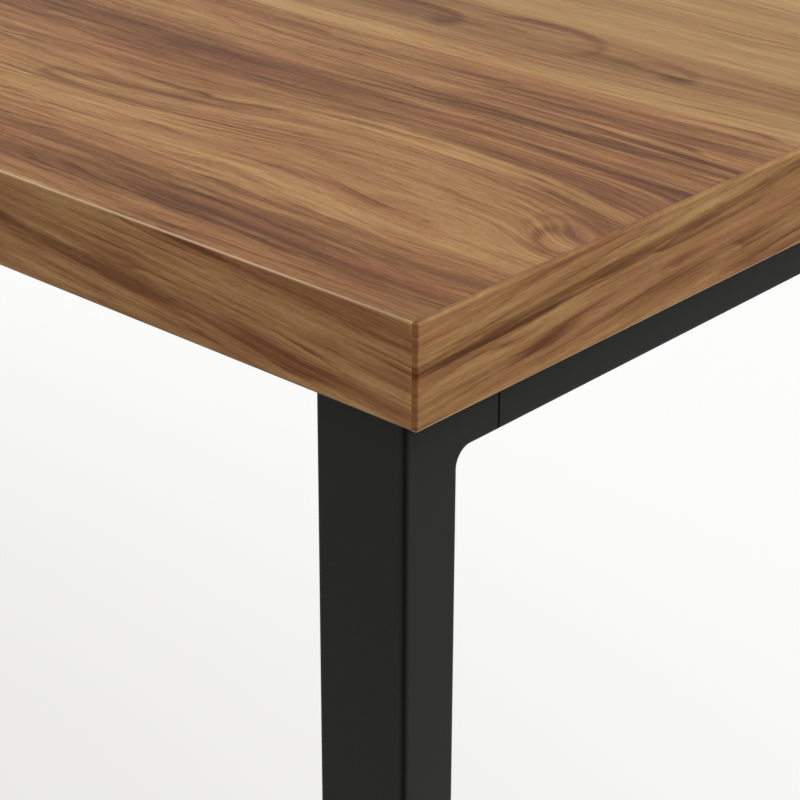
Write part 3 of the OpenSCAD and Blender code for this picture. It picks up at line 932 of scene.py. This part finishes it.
class TABLE_OT_thread_stems(bpy.types.Operator):
    """Makes the levelling stems: rivet head, neck, hexagonal collar and rolled thread"""
    bl_idname = "table.thread_stems"
    bl_label = "Thread Stems"

    def execute(self, context):
        foot = context.scene.table_foot
        at = foot_levels()
        head = start("cylinder", "stem_head", vertices=48, radius=foot.neck / 2 + foot.lip, depth=foot.lip,
                     location=at["axis"] + Vector((0, 0, at["head"] + foot.lip / 2)))
        pick_faces(head, lambda place, normal: normal.z > 0.9)
        step(inset=foot.lip, out=at["collar"] + foot.play - at["head"] - foot.lip)
        pick_edges(head, lambda one, two: max(one.z, two.z) < 0)
        bpy.ops.mesh.bevel(offset=0.3 * foot.lip, segments=3)
        end_edit(head)

        height = at["plug"] - at["collar"]
        collar = start("cylinder", "stem_collar", vertices=6, radius=at["flats"] / 2 / math.cos(math.pi / 6),
                       depth=height, rotation=(0, 0, math.pi / 6),
                       location=at["axis"] + Vector((0, 0, at["collar"] + height / 2)))
        bpy.ops.mesh.bevel(offset=foot.collar_edge, segments=3)
        end_edit(collar)
        stem = join([head, collar, thread(foot, at)], "stem")
        fit_feet(stem, "foot_stem", "stem", bpy.data.materials["zinc-plated steel"])
        return {"FINISHED"}


def thread(foot, at):
    """A right-hand thread with flat crests and roots, from inside the collar to the stem's top."""
    turns = math.ceil((at["stem_top"] - at["plug"]) / foot.pitch) + 2
    depth, flat, flank = 0.6 * foot.pitch, foot.pitch / 6, foot.pitch / 3
    low = at["plug"] - foot.pitch
    screw = start("plane", "stem_thread", size=MM, location=at["axis"] + Vector((0, 0, low - foot.pitch)))
    bpy.ops.mesh.merge(type="CENTER")
    bpy.ops.transform.translate(value=(foot.thread / 2 - depth, 0, 0))
    for out, up in ((0, flat), (depth, flank), (0, flat), (-depth, flank)):
        bpy.ops.mesh.extrude_region_move(TRANSFORM_OT_translate={"value": (out, 0, up)})
    bpy.ops.object.mode_set(mode="OBJECT")
    turning = screw.modifiers.new("turns", "SCREW")
    turning.screw_offset = foot.pitch
    turning.iterations = turns + 1
    turning.steps = turning.render_steps = 24
    bpy.ops.object.modifier_apply(modifier=turning.name)
    bpy.ops.object.mode_set(mode="EDIT")
    bpy.ops.mesh.select_all(action="SELECT")
    bpy.ops.mesh.remove_doubles(threshold=MERGE_DISTANCE)
    for height, upper in ((low + foot.pitch / 2, False), (at["stem_top"], True)):
        bpy.ops.mesh.select_all(action="SELECT")
        bpy.ops.mesh.bisect(plane_co=at["axis"] + Vector((0, 0, height)), plane_no=(0, 0, 1), use_fill=True,
                            threshold=MERGE_DISTANCE, clear_inner=not upper, clear_outer=upper)
    return end_edit(screw, 30)


class TABLE_OT_mould_pads(bpy.types.Operator):
    """Moulds the pads: fluted side, sloping shoulder, a well for the stem's head and a recess for the grip"""
    bl_idname = "table.mould_pads"
    bl_label = "Mould Pads"

    def execute(self, context):
        foot = context.scene.table_foot
        at = foot_levels()
        low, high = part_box("foot_pad_front_right")
        outer = (high[0] - low[0]) / 2
        bore, well = foot.neck / 2 + foot.play, foot.neck / 2 + foot.lip + foot.play
        grip_low, grip_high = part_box("foot_grip_front_right")
        recess = (grip_high[0] - grip_low[0]) / 2 + foot.play
        pad = start("cylinder", "pad", vertices=PAD_SIDES, radius=outer, depth=foot.shoulder,
                    location=at["axis"] + Vector((0, 0, at["pad"] + foot.shoulder / 2)))

        def fluted(place, normal):
            """True for two side faces in every four"""
            side = int(math.degrees(math.atan2(place.y, place.x) + math.pi) * PAD_SIDES / 360)
            return abs(normal.z) < 0.1 and side % 4 < 2

        pick_faces(pad, fluted)
        bpy.ops.mesh.inset(thickness=0.7 * foot.flute, depth=-foot.flute)

        pick_faces(pad, lambda place, normal: normal.z > 0.9)
        top = at["flats"] / 2 + foot.rim
        bpy.ops.mesh.inset(thickness=outer - top, depth=at["pad_top"] - at["pad"] - foot.shoulder)
        step(inset=top - bore, out=at["head"] + foot.lip + foot.play - at["pad_top"])
        widen(well / bore)
        step(out=at["grip_top"] - at["head"] - foot.lip - foot.play)
        widen(recess / well)
        step(out=at["pad"] + foot.flute - at["grip_top"])
        bpy.ops.mesh.delete(type="ONLY_FACE")

        pick_faces(pad, lambda place, normal: normal.z < -0.9 and place.z < -0.49 * foot.shoulder)
        step(inset=outer - recess - foot.flute)
        bpy.ops.mesh.delete(type="ONLY_FACE")
        bpy.ops.mesh.select_mode(type="EDGE")
        bpy.ops.mesh.select_non_manifold()
        bpy.ops.mesh.bridge_edge_loops()

        shoulder = foot.shoulder / 2
        rims = ((outer, -shoulder), (outer, shoulder), (top, at["pad_top"] - at["pad"] - shoulder))

        def on_one_rim(*ends):
            """True for an edge whose two ends lie on the same rim"""
            return any(all(math.dist((end.xy.length, end.z), rim) < 0.1 * MM for end in ends) for rim in rims)

        pick_edges(pad, on_one_rim)
        bpy.ops.mesh.bevel(offset=foot.pad_edge, segments=2)
        end_edit(pad)
        fit_feet(pad, "foot_pad", "foot", plastic("black nylon, moulded", foot.nylon, 0.5))
        return {"FINISHED"}


class TABLE_OT_mould_grips(bpy.types.Operator):
    """Moulds the rubber grips under the pads, with ring grooves against the floor"""
    bl_idname = "table.mould_grips"
    bl_label = "Mould Grips"

    def execute(self, context):
        foot = context.scene.table_foot
        at = foot_levels()
        low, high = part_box("foot_grip_front_right")
        radius, thickness = (high[0] - low[0]) / 2, high[2] - low[2]
        grip = start("cylinder", "grip", vertices=48, radius=radius, depth=thickness,
                     location=at["axis"] + Vector((0, 0, low[2] + thickness / 2)))
        pick_faces(grip, lambda place, normal: normal.z < -0.9)
        for _ in range(GRIP_GROOVES):
            bpy.ops.mesh.inset(thickness=BEFORE_GROOVE * radius)
            bpy.ops.mesh.inset(thickness=foot.flute, depth=-foot.flute)
            bpy.ops.mesh.inset(thickness=AFTER_GROOVE * radius)
            bpy.ops.mesh.inset(thickness=foot.flute, depth=foot.flute)
        pick_edges(grip, lambda one, two: one.xy.length > 0.99 * radius and abs(one.z - two.z) < 0.01 * MM)
        bpy.ops.mesh.bevel(offset=foot.grip_edge, segments=2)
        end_edit(grip)
        fit_feet(grip, "foot_grip", "foot", plastic("grip rubber, moulded", foot.rubber, 0.8))
        return {"FINISHED"}


# ---- Studio ----

class TABLE_OT_set_stage(bpy.types.Operator):
    """Builds the floor, the soft light and the camera"""
    bl_idname = "table.set_stage"
    bl_label = "Set Stage"

    def execute(self, context):
        stage = context.scene.table_stage
        bpy.ops.object.select_all(action="DESELECT")
        bpy.ops.mesh.primitive_plane_add(size=stage.floor_size, location=(0, 0, LOW.z))
        floor = context.object
        floor.name = "studio_floor"
        material, tree, surface = new_material("white studio floor", stage.floor, 0.9, specular=0.1)
        seen = seen_directly(tree)
        bounce = add(tree, "MapRange", (seen, 0, 1, stage.bounce, 1))
        colour = add(tree, "Mix", (1.0, colour4(stage.floor), bounce), **SHADE)
        feed(tree, surface, {"Base Color": colour})
        white = add(tree, "Math", (seen, stage.white), operation="MULTIPLY")
        glow = add(tree, "Emission", (colour4(WHITE), 1.0))
        feed(tree, tree.nodes["Material Output"], (add(tree, "MixShader", (white, surface, glow)),))
        floor.data.materials.append(material)

        world = bpy.data.worlds.new("studio")
        context.scene.world = world
        world.use_nodes = True
        sky = world.node_tree
        sky.nodes.clear()
        level = add(sky, "MapRange", (seen_directly(sky), 0, 1, stage.sky, 1))
        add(sky, "OutputWorld", (add(sky, "Background", (colour4(WHITE), level)),))

        lamp = bpy.data.lights.new("soft_overhead", "SUN")
        lamp.energy = stage.light
        lamp.angle = stage.softness
        holder = bpy.data.objects.new("soft_overhead", lamp)
        context.scene.collection.objects.link(holder)
        holder.rotation_euler = Vector(stage.light_from).to_track_quat("Z", "Y").to_euler()

        lens = bpy.data.cameras.new("camera")
        lens.lens = stage.lens
        camera = bpy.data.objects.new("camera", lens)
        context.scene.collection.objects.link(camera)
        camera.location = Vector((HIGH.x, LOW.y, HIGH.z)) + Vector(stage.eye)
        turn = (Matrix.Rotation(stage.heading, 3, "Z") @ Matrix.Rotation(math.pi / 2 + stage.pitch, 3, "X")
                @ Matrix.Rotation(stage.roll, 3, "Z"))
        camera.rotation_euler = turn.to_euler()
        context.scene.camera = camera
        context.scene.view_settings.view_transform = "Standard"
        return {"FINISHED"}


def seen_directly(tree):
    """1 for what is seen straight, in a reflection or through glass, and 0 for the light that is thrown."""
    rays = add(tree, "LightPath").outputs
    seen = add(tree, "Math", (rays["Is Camera Ray"], rays["Is Glossy Ray"]), operation="MAXIMUM")
    return add(tree, "Math", (seen, rays["Is Transmission Ray"]), operation="MAXIMUM")


class TABLE_PT_dresser(bpy.types.Panel):
    """Lists the steps that dress the table"""
    bl_label = "Table"
    bl_idname = "TABLE_PT_dresser"
    bl_space_type = "VIEW_3D"
    bl_region_type = "UI"
    bl_category = "Table"

    def draw(self, context):
        for operator in OPERATORS:
            self.layout.operator(operator.bl_idname)
        for name, group in SETTINGS.items():
            for setting in group.__annotations__:
                self.layout.prop(getattr(context.scene, name), setting)


SETTINGS = {
    "table_wood": TableWoodSettings,
    "table_steel": TableSteelSettings,
    "table_foot": TableFootSettings,
    "table_stage": TableStageSettings,
}
OPERATORS = (
    TABLE_OT_lay_veneer,
    TABLE_OT_press_core,
    TABLE_OT_coat_frame,
    TABLE_OT_weld_rails,
    TABLE_OT_finish_fasteners,
    TABLE_OT_mould_plugs,
    TABLE_OT_thread_stems,
    TABLE_OT_mould_pads,
    TABLE_OT_mould_grips,
    TABLE_OT_set_stage,
)


def register():
    for cls in (*SETTINGS.values(), *OPERATORS, TABLE_PT_dresser):
        bpy.utils.register_class(cls)
    for name, cls in SETTINGS.items():
        setattr(bpy.types.Scene, name, bpy.props.PointerProperty(type=cls))


def unregister():
    for name in SETTINGS:
        delattr(bpy.types.Scene, name)
    for cls in reversed((*SETTINGS.values(), *OPERATORS, TABLE_PT_dresser)):
        bpy.utils.unregister_class(cls)


def main():
    register()
    bpy.ops.table.lay_veneer()
    bpy.ops.table.press_core()
    bpy.ops.table.coat_frame()
    bpy.ops.table.weld_rails()
    bpy.ops.table.finish_fasteners()
    bpy.ops.table.mould_plugs()
    bpy.ops.table.thread_stems()
    bpy.ops.table.mould_pads()
    bpy.ops.table.mould_grips()
    bpy.ops.table.set_stage()


if __name__ == "__main__":
    main()
